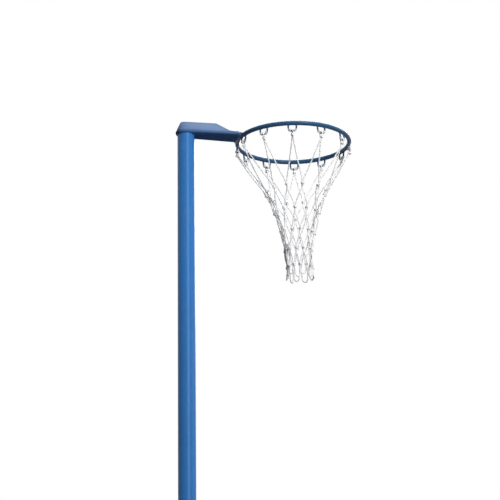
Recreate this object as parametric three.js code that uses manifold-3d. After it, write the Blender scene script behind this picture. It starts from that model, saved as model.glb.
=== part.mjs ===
// Netball post: a round steel post that stands in a ground socket and lifts out of it. A fabricated arm
// on top of the post carries a ring of solid round bar, with eyes welded under it and a knotted cord net
// hung from the eyes. Millimetres, +Z up. The origin lies on the post's axis at ground level, and +X runs
// from the post to the ring.

import * as THREE from 'three';
import { mergeVertices } from 'three/addons/utils/BufferGeometryUtils.js';
import Module from 'manifold-3d';

const wasm = await Module();
wasm.setup();

// Ring
const ringTopHeight = 3050; // from the ground to the top of the ring
const ringBore = 380;
const ringBarDiameter = 16;
const ringSteps = 84;
const ringSides = 10;

// Post
const postDiameter = 60.3;
const postWall = 3.2;
const postToRingGap = 150;

// Arm
const armHalfWidth = 37; // at the post's axis
const armNoseHalfWidth = 45; // at the ring
const armPlate = 3;
const armRingRise = 2.8; // from the ring's centre line up to the arm's underside
const armRimHeight = 10; // of the bottom plate's turned-up rim
const armRimRadius = 8; // outside radius of the turn
const armBoxHeight = 36;
const armRearReach = 35; // behind the post's axis
const armRearCorner = 33; // radius of the rear corners, seen from above
const armRearLean = 10;
const armFlatReach = 69; // flat top, past the post
const armSlopeLength = 47;
const armSlopeFoot = 13; // height at the slope's lower end
const armNoseLap = 6; // how far the nose runs in over the ring bar
const armFoldRadius = 4; // inside radius of the folds
const armPlanSteps = 10; // to each rear corner
const armRimSteps = 3;
const armFoldSteps = 4;

// Spigot and its bolts
const spigotLength = 160;
const spigotWall = 4;
const spigotPlay = 0.5; // each side
const boltDiameter = 10;
const boltHole = 11;
const boltAcrossFlats = 17;
const boltHeadHeight = 6.4;
const boltTailLength = 4; // past the nut
const nutHeight = 8;
const washerDiameter = 20;
const washerThickness = 2;
const firstBoltDepth = 45; // below the post's top
const boltSpacing = 75;
const boltCount = 2;

// Net eyes
const eyeCount = 12;
const eyeRodDiameter = 6;
const eyeWidth = 28; // between the legs' centre lines
const eyeDrop = 29; // from the ring's centre line to the lowest centre line of the eye
const eyeSteps = 12;
const eyeSides = 7;

// Net
const netLength = 505; // below the ring's centre line
const netCordDiameter = 5;
const netKnotDiameter = 10;
const netHitchRadius = 10; // at the top of the cord's turn over the eye
const netHitchClearance = 1.1;
const netSideDrift = 15; // how far the foot of the net hangs to the side, along +X
const netCordSlack = 5; // bow of a cord between two knots
const netCordGap = 1.2; // between two cords where they part at a knot
const netHitchSteps = 9;
const netTopSteps = 4;
const netRowSteps = 2;
const netTurnSteps = 6;
const netTurnShare = 0.75; // how much of its curve's fall a turn at the foot reaches
const netFootUneven = 14; // how much less the shortest turn at the foot hangs down
const netRowDepthShares = [0.37, 0.52, 0.66, 0.79, 0.905];
const netRowRadiusShares = [0.55, 0.387, 0.29, 0.237, 0.224];
const netUnevenShare = 0.05; // of a knot's radius
const netUnevenTurn = 1.7; // radians from one knot's unevenness to the next
const netBunchShare = 0.28; // of a turn's angle in radians, towards the post, at the foot

// Ground socket
const socketDepth = 450; // from the ground to the top of the base plate
const sleeveWall = 3;
const sleevePlay = 1.85; // each side, between the post and the sleeve
const collarDiameter = 130;
const collarThickness = 6;
const basePlateWidth = 100;
const basePlateThickness = 6;
const drainHole = 20;
const lugCount = 4;
const lugLength = 70;
const lugWidth = 40;
const lugThickness = 5;
const lugNotch = 16;
const lugRise = 220; // above the base plate

// Pad in the socket and plug in the post's foot
const padThickness = 6;
const padPlay = 1;
const plugRim = 4;
const plugLength = 26;
const plugPlay = 0.3;
const plugWall = 4;

// Fits and facets
const seam = 0.3; // between two pieces that meet
const cutOverrun = 20;
const weldTolerance = 1e-4;
const tubeSides = 48;
const smallSides = 16;
const hexSides = 6;
const holeSides = 20;

// Derived sizes
const ringBarRadius = ringBarDiameter / 2;
const ringRadius = ringBore / 2 + ringBarRadius;
const ringCentreHeight = ringTopHeight - ringBarRadius;
const postRadius = postDiameter / 2;
const postBore = postRadius - postWall;
const ringCentreReach = postRadius + postToRingGap + ringBarDiameter + ringBore / 2;
const armUnderside = ringCentreHeight + armRingRise;
const armNoseHeight = ringBarRadius + seam + armPlate - armRingRise; // the nose lies on the ring bar
const armFlare = (armNoseHalfWidth - armHalfWidth) / (ringCentreReach - ringRadius);
const postTop = armUnderside - seam;
const sleeveBore = postRadius + sleevePlay;
const sleeveRadius = sleeveBore + sleeveWall;
const padFloor = -socketDepth + seam;
const plugFloor = padFloor + padThickness + seam;
const postFoot = plugFloor + plugRim + seam;
const spigotRadius = postBore - spigotPlay;
const spigotBore = spigotRadius - spigotWall;
const hexCorner = boltAcrossFlats / 2 / Math.cos(Math.PI / hexSides);
const nutSeat = Math.sqrt(spigotBore ** 2 - hexCorner ** 2) - seam;
const eyeRodRadius = eyeRodDiameter / 2;
const cordHalf = (netCordDiameter * Math.sqrt(Math.PI)) / 4;
const cordPart = cordHalf + netCordGap / 2;
const knotRadius = netKnotDiameter / 2;
const fullTurn = 2 * Math.PI;

// Finishes
const finishes = {
  postBlue: { color: 0x3a77b0, roughness: 0.35, metalness: 0 },
  armBlue: { color: 0x4d78b4, roughness: 0.4, metalness: 0 },
  ringBlue: { color: 0x1f4a80, roughness: 0.4, metalness: 0 },
  zinc: { color: 0xb4b8bc, roughness: 0.45, metalness: 0.9 },
  galvanised: { color: 0x9aa0a4, roughness: 0.6, metalness: 0.8 },
  blackPlastic: { color: 0x1c1c1e, roughness: 0.6, metalness: 0 },
  whiteNylon: { color: 0xd8d8d2, roughness: 0.7, metalness: 0 },
  whiteCord: { color: 0xe9e9ea, roughness: 0.9, metalness: 0 },
};

function piece(name, geometry, finish) {
  const mesh = new THREE.Mesh(geometry, new THREE.MeshStandardMaterial(finishes[finish]));
  mesh.name = name;
  return mesh;
}

// Closed three.js geometry to a solid that can be joined and cut, and back
function toSolid(geometry) {
  const bare = geometry.clone();
  bare.deleteAttribute('normal');
  bare.deleteAttribute('uv');
  const merged = mergeVertices(bare, weldTolerance);
  const vertProperties = new Float32Array(merged.attributes.position.array);
  const triVerts = new Uint32Array(merged.index.array);
  return new wasm.Manifold(new wasm.Mesh({ numProp: 3, vertProperties, triVerts }));
}

function toGeometry(solid) {
  const mesh = solid.getMesh();
  const geometry = new THREE.BufferGeometry();
  geometry.setAttribute('position', new THREE.BufferAttribute(mesh.vertProperties, 3));
  geometry.setIndex(new THREE.BufferAttribute(mesh.triVerts, 1));
  geometry.computeVertexNormals();
  return geometry;
}

function cut(geometry, tools) {
  return toGeometry(tools.reduce((left, tool) => left.subtract(toSolid(tool)), toSolid(geometry)));
}

function common(geometry, other) {
  return toGeometry(toSolid(geometry).intersect(toSolid(other)));
}

function join(geometries) {
  return toGeometry(geometries.map(toSolid).reduce((whole, next) => whole.add(next)));
}

// Ring turned about Z from a closed outline of [radius, height] corners, listed anticlockwise
function turned(outline, sides = tubeSides) {
  const points = [...outline, outline[0]].map(([radius, height]) => new THREE.Vector2(radius, height));
  return new THREE.LatheGeometry(points, sides).rotateX(Math.PI / 2);
}

function tube(bore, radius, bottom, top, sides = tubeSides) {
  const outline = [
    [bore, bottom],
    [radius, bottom],
    [radius, top],
    [bore, top],
  ];
  return turned(outline, sides);
}

function rod(radius, bottom, top, sides = holeSides) {
  return new THREE.CylinderGeometry(radius, radius, top - bottom, sides)
    .rotateX(Math.PI / 2)
    .translate(0, 0, (top + bottom) / 2);
}

function roundSection(radius, sides) {
  const corner = (_, i) => {
    const angle = (i / sides) * fullTurn;
    return new THREE.Vector2(radius * Math.cos(angle), radius * Math.sin(angle));
  };
  return new THREE.Shape(Array.from({ length: sides }, corner));
}

// Shape through corners [x, y, radius], where a radius rounds its corner
function filletedShape(corners) {
  const shape = new THREE.Shape();
  const point = (i) => {
    const [x, y] = corners[(i + corners.length) % corners.length];
    return new THREE.Vector2(x, y);
  };
  corners.forEach(([x, y, radius = 0], i) => {
    const back = point(i - 1).sub(point(i)).normalize();
    const ahead = point(i + 1).sub(point(i)).normalize();
    const reach = radius / Math.tan(Math.acos(back.dot(ahead)) / 2);
    const start = point(i).addScaledVector(back, reach);
    const end = point(i).addScaledVector(ahead, reach);
    const goTo = i === 0 ? 'moveTo' : 'lineTo';
    shape[goTo](start.x, start.y);
    shape.quadraticCurveTo(x, y, end.x, end.y);
  });
  shape.closePath();
  return shape;
}

// Open line of [x, y] corners moved to its right by a distance, each corner mitred
function offsetLine(corners, distance) {
  const sideOf = (a, b) => new THREE.Vector2(b[1] - a[1], a[0] - b[0]).normalize();
  return corners.map(([x, y], i) => {
    const before = sideOf(corners[Math.max(i - 1, 0)], corners[Math.max(i, 1)]);
    const last = corners.length - 1;
    const after = sideOf(corners[Math.min(i, last - 1)], corners[Math.min(i + 1, last)]);
    const mitre = before.clone().add(after).normalize();
    const reach = distance / mitre.dot(before);
    return [x + mitre.x * reach, y + mitre.y * reach];
  });
}

// First point of a line, slid along its first stretch to a height
function footAt(height, [[x, y], [nextX, nextY]]) {
  return [x + ((height - y) * (nextX - x)) / (nextY - y), height];
}

// The solid of the ring bar, or a slightly fatter one that cuts what is welded to it
function ringBar(radius) {
  return new THREE.TorusGeometry(ringRadius, radius, ringSides, ringSteps);
}

// Arm, with x from the post's axis and heights from the arm's underside: the cover's outside, from its
// rear foot to the ring
function armProfile() {
  const flatEnd = postRadius + armFlatReach;
  return [
    [-armRearReach, armRimHeight + seam],
    [-armRearReach + armRearLean, armBoxHeight],
    [flatEnd, armBoxHeight],
    [flatEnd + armSlopeLength, armSlopeFoot],
    [ringCentreReach - ringRadius - ringBarRadius, armNoseHeight],
    [ringCentreReach, armNoseHeight],
  ];
}

// Outline of the arm from above, moved inwards
function armPlan(inset) {
  const rear = inset - armRearReach;
  const corner = armRearCorner - inset;
  const halfAt = (x) => armHalfWidth + armFlare * x - inset;
  return filletedShape([
    [rear, -halfAt(rear), corner],
    [ringCentreReach, -halfAt(ringCentreReach)],
    [ringCentreReach, halfAt(ringCentreReach)],
    [rear, halfAt(rear), corner],
  ]);
}

function planPrism(inset, bottom, top) {
  const settings = { depth: top - bottom, bevelEnabled: false, curveSegments: armPlanSteps };
  return new THREE.ExtrudeGeometry(armPlan(inset), settings).translate(0, 0, bottom);
}

// Block with the arm's outline and a rounded lower edge; its top lies above the arm
function dishedBlock(radius, bottom) {
  const settings = {
    depth: armBoxHeight,
    bevelThickness: radius,
    bevelSize: radius,
    bevelSegments: armRimSteps,
    curveSegments: armPlanSteps,
  };
  return new THREE.ExtrudeGeometry(armPlan(armRimRadius), settings).translate(0, 0, bottom + radius);
}

// What the ring bar takes from the arm: the bar itself, and all that lies further in than the nose's lap
function ringCutters() {
  const lapRadius = ringRadius + ringBarRadius - armNoseLap;
  const inside = rod(lapRadius, -cutOverrun, armBoxHeight + cutOverrun, ringSteps);
  const bar = ringBar(ringBarRadius + seam).translate(0, 0, -armRingRise);
  return [inside, bar].map((tool) => tool.translate(ringCentreReach, 0, 0));
}

// Plate drawn in the x and z of the arm, standing across y from its nearer face
function uprightPlate(shape, thickness, nearFace) {
  const settings = { depth: thickness, bevelEnabled: false, curveSegments: armFoldSteps };
  const plate = new THREE.ExtrudeGeometry(shape, settings).rotateX(Math.PI / 2);
  return plate.translate(0, nearFace + thickness, 0);
}

function flatPlate(shape, thickness, bottom) {
  const settings = { depth: thickness, bevelEnabled: false, curveSegments: holeSides / 4 };
  return new THREE.ExtrudeGeometry(shape, settings).translate(0, 0, bottom);
}

// The cover is one strip, folded over the rear, the top, the slope and the nose
function armCover() {
  const outer = armProfile();
  const offset = offsetLine(outer, armPlate);
  const inner = [footAt(outer[0][1], offset), ...offset.slice(1)];
  const outerFold = armFoldRadius + armPlate;
  const folds = [0, outerFold, outerFold, armFoldRadius, armFoldRadius, 0];
  const innerFolds = [0, armFoldRadius, armFoldRadius, outerFold, outerFold, 0];
  const rounded = (line, radii) => line.map((corner, i) => [...corner, radii[i]]);
  const section = filletedShape([...rounded(outer, folds), ...rounded(inner, innerFolds).reverse()]);
  const strip = uprightPlate(section, 2 * armNoseHalfWidth, -armNoseHalfWidth);
  return cut(common(strip, planPrism(0, -cutOverrun, armBoxHeight + cutOverrun)), ringCutters());
}

// Room under the cover in the side view, closed at the rear by the points given
function roomUnderCover(rearPoints) {
  const roof = offsetLine(armProfile(), armPlate + seam).slice(2);
  const floor = [roof.at(-1), rearPoints[0]].map(([x]) => [x, -cutOverrun]);
  return filletedShape([...rearPoints, ...roof, ...floor]);
}

// Side plate, rolled round the rear until it meets the cover; it stands on the bottom plate's rim
function armSide(nearFace) {
  const [foot, fold] = offsetLine(armProfile(), armPlate + seam);
  const section = roomUnderCover([foot, [...fold, armFoldRadius - seam]]);
  const room = uprightPlate(section, armNoseHalfWidth, nearFace);
  const outside = planPrism(0, armRimHeight + seam, armBoxHeight);
  const wall = cut(outside, [planPrism(armPlate, armRimHeight - cutOverrun, armBoxHeight + cutOverrun)]);
  return cut(common(wall, room), ringCutters());
}

// Bottom plate, dished: its rim turns up all round and is trimmed where the cover comes down on it
function armBottom() {
  const rearPoint = [-armRearReach - cutOverrun, armBoxHeight];
  const room = uprightPlate(roomUnderCover([rearPoint]), 2 * armNoseHalfWidth, -armNoseHalfWidth);
  const dish = cut(dishedBlock(armRimRadius, 0), [dishedBlock(armRimRadius - armPlate, armPlate)]);
  const trimmed = common(dish, planPrism(0, -cutOverrun, armRimHeight));
  return cut(common(trimmed, room), ringCutters());
}

function buildArm() {
  const arm = new THREE.Group();
  arm.position.z = armUnderside;
  arm.add(piece('arm_bottom_plate', armBottom(), 'armBlue'));
  arm.add(piece('arm_side_near', armSide(-armNoseHalfWidth), 'armBlue'));
  arm.add(piece('arm_side_far', armSide(0), 'armBlue'));
  arm.add(piece('arm_cover', armCover(), 'armBlue'));
  return arm;
}

// Bolts, with their axes along +Y, away from the court side of the post
function boltHeights() {
  return Array.from({ length: boltCount }, (_, i) => postTop - firstBoltDepth - i * boltSpacing);
}

function outwards(geometry) {
  return geometry.rotateX(-Math.PI / 2);
}

function boltHoles() {
  const hole = (height) => outwards(rod(boltHole / 2, 0, postRadius + cutOverrun)).translate(0, 0, height);
  return boltHeights().map(hole);
}

function hexPrism(bottom, top) {
  return rod(hexCorner, bottom, top, hexSides);
}

function boltSolid() {
  const headSeat = postRadius + seam + washerThickness + seam;
  const shank = rod(boltDiameter / 2, nutSeat - nutHeight - boltTailLength, headSeat + boltHeadHeight / 2);
  return outwards(join([hexPrism(headSeat, headSeat + boltHeadHeight), shank]));
}

function nutSolid() {
  const bore = rod(boltDiameter / 2 + seam, nutSeat - nutHeight - cutOverrun, nutSeat + cutOverrun);
  return outwards(cut(hexPrism(nutSeat - nutHeight, nutSeat), [bore]));
}

function washerSolid() {
  const seat = postRadius + seam;
  return outwards(tube(boltHole / 2, washerDiameter / 2, seat, seat + washerThickness, smallSides));
}

function buildBolts() {
  const bolts = new THREE.Group();
  boltHeights().forEach((height, i) => {
    const set = new THREE.Group();
    set.position.z = height;
    set.add(piece(`spigot_bolt_${i + 1}`, boltSolid(), 'zinc'));
    set.add(piece(`bolt_washer_${i + 1}`, washerSolid(), 'zinc'));
    set.add(piece(`spigot_nut_${i + 1}`, nutSolid(), 'zinc'));
    bolts.add(set);
  });
  return bolts;
}

// Post
function footPlug() {
  const body = postBore - plugPlay;
  const top = plugFloor + plugLength;
  const outline = [
    [0, plugFloor],
    [postRadius, plugFloor],
    [postRadius, plugFloor + plugRim],
    [body, plugFloor + plugRim],
    [body, top],
    [body - plugWall, top],
    [body - plugWall, plugFloor + plugRim + plugWall],
    [0, plugFloor + plugRim + plugWall],
  ];
  const points = outline.map(([radius, height]) => new THREE.Vector2(radius, height));
  return new THREE.LatheGeometry(points, tubeSides).rotateX(Math.PI / 2);
}

function buildPost() {
  const post = new THREE.Group();
  const pole = tube(postBore, postRadius, postFoot, postTop);
  const spigot = tube(spigotBore, spigotRadius, postTop - spigotLength, postTop);
  post.add(piece('post_tube', cut(pole, boltHoles()), 'postBlue'));
  post.add(piece('foot_plug', footPlug(), 'blackPlastic'));
  post.add(piece('arm_spigot', cut(spigot, boltHoles()), 'armBlue'));
  return post;
}

// Net eye: a rod bent to a U, its legs running up into the ring bar
class EyeLine extends THREE.Curve {
  getPoint(t) {
    const bend = eyeWidth / 2;
    const leg = eyeDrop - bend;
    const along = t * (2 * leg + Math.PI * bend);
    const turn = Math.min(Math.max(along - leg, 0) / bend, Math.PI);
    const rise = Math.max(leg - along, along - leg - Math.PI * bend, 0);
    return new THREE.Vector3(0, -bend * Math.cos(turn), rise - leg - bend * Math.sin(turn));
  }
}

function eyeSolid() {
  const settings = { steps: eyeSteps, extrudePath: new EyeLine(), bevelEnabled: false };
  const bent = new THREE.ExtrudeGeometry(roundSection(eyeRodRadius, eyeSides), settings);
  return bent.translate(ringRadius, 0, 0);
}

// Centre line of the net's turn over an eye's rod, as a drop with its tip at its foot
class HitchLine extends THREE.Curve {
  constructor(centre, angle) {
    super();
    this.centre = centre;
    this.angle = angle;
  }

  getPoint(t) {
    const turn = t * fullTurn;
    const place = new THREE.Vector3(-Math.sin(turn) * Math.sin(turn / 2), 0, -Math.cos(turn));
    place.multiplyScalar(netHitchRadius).setY(-cordPart * Math.cos(turn / 2));
    return place.add(this.centre).applyAxisAngle(new THREE.Vector3(0, 0, 1), this.angle);
  }
}

// The eyes stand half a spacing to each side of the arm
function eyeAngle(i) {
  return Math.PI + ((i + 0.5) / eyeCount) * fullTurn;
}

function buildEyes() {
  const eyes = new THREE.Group();
  for (let i = 0; i < eyeCount; i += 1) {
    const eye = eyeSolid().rotateZ(eyeAngle(i));
    const label = String(i + 1).padStart(2, '0');
    eyes.add(piece(`net_eye_${label}`, cut(eye, [ringBar(ringBarRadius + seam)]), 'ringBlue'));
  }
  return eyes;
}

// Net, with heights from the ring's centre line. It is one closed skin: square cords of the round cord's
// area run from knot to knot. Row 0 is the knots under the eyes, and the cords below the last row hang in
// open turns.
const hitchDrop = eyeDrop + netHitchRadius - cordHalf - eyeRodRadius - netHitchClearance;

function outwardsAt(place) {
  return new THREE.Vector3(place.x, place.y, 0).normalize();
}

function knotPlace(row, column) {
  const depthShare = row === 0 ? 0 : netRowDepthShares[row - 1];
  const plainAngle = eyeAngle(column + (row % 2) / 2);
  const uneven = netUnevenShare * Math.sin((column + 1) * (row + 2) * netUnevenTurn);
  const bunch = netBunchShare * depthShare ** 2 * Math.sin(plainAngle - Math.PI);
  const angle = plainAngle - bunch;
  const radius = ringRadius * (row === 0 ? 1 : netRowRadiusShares[row - 1] * (1 + uneven));
  const depth = row === 0 ? hitchDrop + netHitchRadius + knotRadius : netLength * depthShare;
  const drift = netSideDrift * depthShare;
  return new THREE.Vector3(radius * Math.cos(angle) + drift, radius * Math.sin(angle), -depth);
}

// Corners of a cord that runs through a place, anticlockwise as seen from ahead. The first and the last lie
// outwards.
function cordCorners(place, along, outwards) {
  const across = outwards.clone().cross(along).normalize();
  const out = along.clone().cross(across).normalize();
  const corner = (outSign, acrossSign) =>
    place
      .clone()
      .addScaledVector(out, outSign * cordHalf)
      .addScaledVector(across, acrossSign * cordHalf);
  return [corner(1, -1), corner(-1, -1), corner(-1, 1), corner(1, 1)];
}

// Where the cords of a knot run to, anticlockwise as seen from outside, from the upper right one
function knotTargets(row, column) {
  const here = knotPlace(row, column);
  const left = column - 1 + (row % 2);
  const foot = (i) => knotPlace(row, i).add(here).divideScalar(2).setZ(-netLength);
  const above = (i) => knotPlace(row - 1, i);
  const below = (i) => knotPlace(row + 1, i);
  const hitchFoot = -hitchDrop - netHitchRadius;
  const hitchSide = (sign) => here.clone().add(sideStep(here, sign * cordPart)).setZ(hitchFoot);
  const up = row === 0 ? [hitchSide(1), hitchSide(-1)] : [above(left + 1), above(left)];
  const lastRow = row === netRowDepthShares.length;
  const down = lastRow ? [foot(column - 1), foot(column + 1)] : [below(left), below(left + 1)];
  return [...up, ...down];
}

function sideStep(place, distance) {
  const outwards = outwardsAt(place);
  return new THREE.Vector3(-outwards.y, outwards.x, 0).multiplyScalar(distance);
}

// A knot reaches out along each cord as far as that cord needs to part from the next one
function buildKnot(row, column) {
  const place = knotPlace(row, column);
  const outwards = outwardsAt(place);
  const directions = knotTargets(row, column).map((target) => target.sub(place).normalize());
  const ports = directions.map((along, i) => {
    const neighbours = [directions.at(i - 1), directions[(i + 1) % directions.length]];
    const narrowest = Math.min(...neighbours.map((direction) => along.angleTo(direction)));
    const reach = Math.max(knotRadius, cordPart / Math.tan(narrowest / 2));
    const mouth = place.clone().addScaledVector(along, reach);
    return { mouth, along, corners: cordCorners(mouth, along, outwards) };
  });
  return { place, outwards, ports };
}

function buildNet() {
  const positions = [];
  const triangle = (...corners) => corners.forEach((corner) => positions.push(corner.x, corner.y, corner.z));
  const quad = (a, b, c, d) => {
    triangle(a, b, c);
    triangle(a, c, d);
  };

  const addKnot = ({ place, outwards, ports }) => {
    const front = ports.flatMap(({ corners }) => [corners[0], corners[3]]);
    const back = ports.flatMap(({ corners }) => [corners[1], corners[2]]);
    const crown = place.clone().addScaledVector(outwards, knotRadius);
    const heel = place.clone().addScaledVector(outwards, -knotRadius);
    front.forEach((corner, i) => {
      const next = (i + 1) % front.length;
      triangle(crown, corner, front[next]);
      triangle(heel, back[next], back[i]);
      if (i % 2) quad(back[i], back[next], front[next], corner);
    });
  };

  const addCord = (rings) => {
    for (let i = 0; i + 1 < rings.length; i += 1) {
      rings[i].forEach((corner, k) => {
        const next = (k + 1) % rings[i].length;
        quad(corner, rings[i][next], rings[i + 1][next], rings[i + 1][k]);
      });
    }
  };

  // Cord along a curve from the port of one knot to the port of another
  const tie = (from, to, curve, steps, outwardsOf) => {
    const rings = [from.corners];
    for (let i = 1; i < steps; i += 1) {
      const place = curve.getPoint(i / steps);
      const along = curve.getTangent(i / steps);
      rings.push(cordCorners(place, along, outwardsOf(place, along)));
    }
    return [...rings, [...to.corners].reverse()];
  };

  const stretch = (from, to, steps, bow) => {
    const handle = from.mouth.distanceTo(to.mouth) / 3;
    const swell = outwardsAt(from.mouth).multiplyScalar(bow);
    const first = from.mouth.clone().addScaledVector(from.along, handle).add(swell);
    const second = to.mouth.clone().addScaledVector(to.along, handle).add(swell);
    const curve = new THREE.CubicBezierCurve3(from.mouth, first, second, to.mouth);
    addCord(tie(from, to, curve, steps, outwardsAt));
  };

  // Turn that hangs between two knots of the last row
  const turnBelow = (from, to, foot) => {
    const hang = ({ mouth }) => {
      const fall = (foot - mouth.z) / netTurnShare;
      return mouth.clone().addScaledVector(outwardsAt(mouth), netCordSlack).setZ(mouth.z + fall);
    };
    const curve = new THREE.CubicBezierCurve3(from.mouth, hang(from), hang(to), to.mouth);
    addCord(tie(from, to, curve, netTurnSteps, outwardsAt));
  };

  // Turn over an eye: in towards the net's axis, up, over the eye's rod, and down outside
  const hitch = (from, to, column) => {
    const centre = new THREE.Vector3(ringRadius, 0, -hitchDrop);
    const curve = new HitchLine(centre, eyeAngle(column));
    const sideways = sideStep(from.mouth, 1);
    const rings = tie(from, to, curve, netHitchSteps, (place, along) => sideways.clone().cross(along));
    const [a, b, c, d] = rings.at(-1);
    addCord([...rings.slice(0, -1), [c, d, a, b]]);
  };

  const rows = netRowDepthShares.length;
  const knots = [];
  for (let row = 0; row <= rows; row += 1) {
    knots.push(Array.from({ length: eyeCount }, (_, column) => buildKnot(row, column)));
  }
  const at = (row, column) => knots[row][(column + eyeCount) % eyeCount].ports;
  knots.flat().forEach(addKnot);
  for (let column = 0; column < eyeCount; column += 1) {
    hitch(at(0, column)[1], at(0, column)[0], column);
    for (let row = 0; row < rows; row += 1) {
      const left = column - 1 + (row % 2);
      const steps = row === 0 ? netTopSteps : netRowSteps;
      const bow = netCordSlack * Math.sin((column + 2) * (row + 1) * netUnevenTurn);
      stretch(at(row, column)[2], at(row + 1, left)[0], steps, bow);
      stretch(at(row, column)[3], at(row + 1, left + 1)[1], steps, -bow);
    }
    const foot = netFootUneven * Math.sin((column + 1) * netUnevenTurn) ** 2 - netLength;
    turnBelow(at(rows, column)[3], at(rows, column + 1)[2], foot);
  }
  const geometry = new THREE.BufferGeometry();
  return geometry.setAttribute('position', new THREE.Float32BufferAttribute(positions, 3));
}

function buildRing() {
  const ring = new THREE.Group();
  ring.position.set(ringCentreReach, 0, ringCentreHeight);
  ring.add(piece('ring_bar', ringBar(ringBarRadius), 'ringBlue'));
  ring.add(buildEyes());
  ring.add(piece('net', buildNet(), 'whiteCord'));
  return ring;
}

// Ground socket. The collar is welded round the sleeve's upper end.
function collar() {
  return tube(sleeveRadius + seam, collarDiameter / 2, -collarThickness, 0);
}

function sleeve() {
  return tube(sleeveBore, sleeveRadius, -socketDepth + seam, 0);
}

function basePlate() {
  const half = basePlateWidth / 2;
  const corners = [
    [-half, -half],
    [half, -half],
    [half, half],
    [-half, half],
  ];
  const shape = filletedShape(corners);
  shape.holes.push(roundSection(drainHole / 2, holeSides));
  return flatPlate(shape, basePlateThickness, -socketDepth - basePlateThickness);
}

// Lug with a forked end, drawn in its length and width
function lug() {
  const root = sleeveRadius + seam;
  const tip = root + lugLength;
  const half = lugWidth / 2;
  const corners = [
    [root, -half],
    [tip, -half],
    [tip - lugNotch, 0],
    [tip, half],
    [root, half],
  ];
  const plate = uprightPlate(filletedShape(corners), lugThickness, -lugThickness / 2);
  return plate.translate(0, 0, lugRise - socketDepth);
}

function buildSocket() {
  const socket = new THREE.Group();
  socket.add(piece('socket_collar', collar(), 'galvanised'));
  socket.add(piece('socket_sleeve', sleeve(), 'galvanised'));
  socket.add(piece('socket_base_plate', basePlate(), 'galvanised'));
  for (let i = 0; i < lugCount; i += 1) {
    const turnedLug = lug().rotateZ(((i + 0.5) / lugCount) * fullTurn);
    socket.add(piece(`anchor_lug_${i + 1}`, turnedLug, 'galvanised'));
  }
  const pad = tube(drainHole / 2, sleeveBore - padPlay, padFloor, padFloor + padThickness);
  socket.add(piece('wear_pad', pad, 'whiteNylon'));
  return socket;
}

const netballPost = new THREE.Group();
netballPost.add(buildSocket(), buildPost(), buildArm(), buildBolts(), buildRing());

export default netballPost;
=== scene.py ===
import math

import bpy
import numpy as np
from mathutils import Matrix, Vector


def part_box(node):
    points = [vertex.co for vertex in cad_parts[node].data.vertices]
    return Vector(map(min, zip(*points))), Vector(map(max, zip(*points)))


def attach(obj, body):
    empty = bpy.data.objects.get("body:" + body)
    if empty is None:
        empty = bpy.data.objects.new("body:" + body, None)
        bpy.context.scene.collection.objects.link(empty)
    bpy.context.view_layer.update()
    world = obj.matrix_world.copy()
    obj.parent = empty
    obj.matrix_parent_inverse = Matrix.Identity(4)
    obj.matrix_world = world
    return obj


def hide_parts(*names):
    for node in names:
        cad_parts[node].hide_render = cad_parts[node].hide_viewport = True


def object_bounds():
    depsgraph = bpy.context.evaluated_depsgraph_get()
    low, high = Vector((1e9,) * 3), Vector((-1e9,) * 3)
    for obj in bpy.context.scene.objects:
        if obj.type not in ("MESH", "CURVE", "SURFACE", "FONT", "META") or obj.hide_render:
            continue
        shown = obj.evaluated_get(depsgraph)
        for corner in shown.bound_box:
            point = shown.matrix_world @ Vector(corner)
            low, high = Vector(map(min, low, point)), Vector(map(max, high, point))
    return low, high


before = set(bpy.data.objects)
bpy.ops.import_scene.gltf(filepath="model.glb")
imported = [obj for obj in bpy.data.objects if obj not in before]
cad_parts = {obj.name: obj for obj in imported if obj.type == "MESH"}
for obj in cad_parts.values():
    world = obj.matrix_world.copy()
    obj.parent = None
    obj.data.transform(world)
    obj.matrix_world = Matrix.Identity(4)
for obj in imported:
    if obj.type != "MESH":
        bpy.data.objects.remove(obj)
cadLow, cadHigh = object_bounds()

scene = bpy.context.scene
fullTurn = 2 * math.pi
print("frame loaded:", len(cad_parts), "nodes")

# what the pieces are placed by
postLow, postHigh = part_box("post_tube")
ringLow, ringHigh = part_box("ring_bar")
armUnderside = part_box("arm_bottom_plate")[0].z
postRadius = (postHigh.x - postLow.x) / 2
ringCentre = (ringLow + ringHigh) / 2
ringOuter = (ringHigh.x - ringLow.x) / 2
barRadius = 0.008
ringRadius = ringOuter - barRadius


# camera

camera = {
    "place": (-1.1141, -5.8166, 0.8047),
    "yaw": 12.9526,              # degrees to the right of +Y
    "pitch": 17.0663,            # degrees up
    "roll": -0.7923,             # degrees
    "lens": 130.0,
    "sensor": 36.0,
}


def makeCamera():
    yaw, pitch, roll = (math.radians(camera[k]) for k in ("yaw", "pitch", "roll"))
    ahead = Vector((math.sin(yaw) * math.cos(pitch), math.cos(yaw) * math.cos(pitch), math.sin(pitch)))
    right = Vector((math.cos(yaw), -math.sin(yaw), 0))
    up = right.cross(ahead)
    turnedRight = right * math.cos(roll) + up * math.sin(roll)
    turnedUp = up * math.cos(roll) - right * math.sin(roll)
    bpy.ops.object.camera_add(location=camera["place"])
    made = bpy.context.object
    made.name = "photoCamera"
    made.data.lens = camera["lens"]
    made.data.sensor_width = camera["sensor"]
    made.rotation_euler = Matrix((turnedRight, turnedUp, -ahead)).transposed().to_euler()
    scene.camera = made


makeCamera()
print("camera made")


# helpers for the pieces

cleaning = {
    "mergeWithin": 1e-5,
    "flatWithin": math.radians(1),
}
shading = {
    # neighbouring faces are shaded as one up to this angle, in degrees
    "plate": 35,
    "rod": 50,
    "bead": 80,
}


def deselectAll():
    if bpy.context.object and bpy.context.object.mode != "OBJECT":
        bpy.ops.object.mode_set(mode="OBJECT")
    bpy.ops.object.select_all(action="DESELECT")


def pick(piece):
    deselectAll()
    piece.select_set(True)
    bpy.context.view_layer.objects.active = piece


def applyPlace(piece):
    pick(piece)
    bpy.ops.object.transform_apply(location=True, rotation=True, scale=True)


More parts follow.
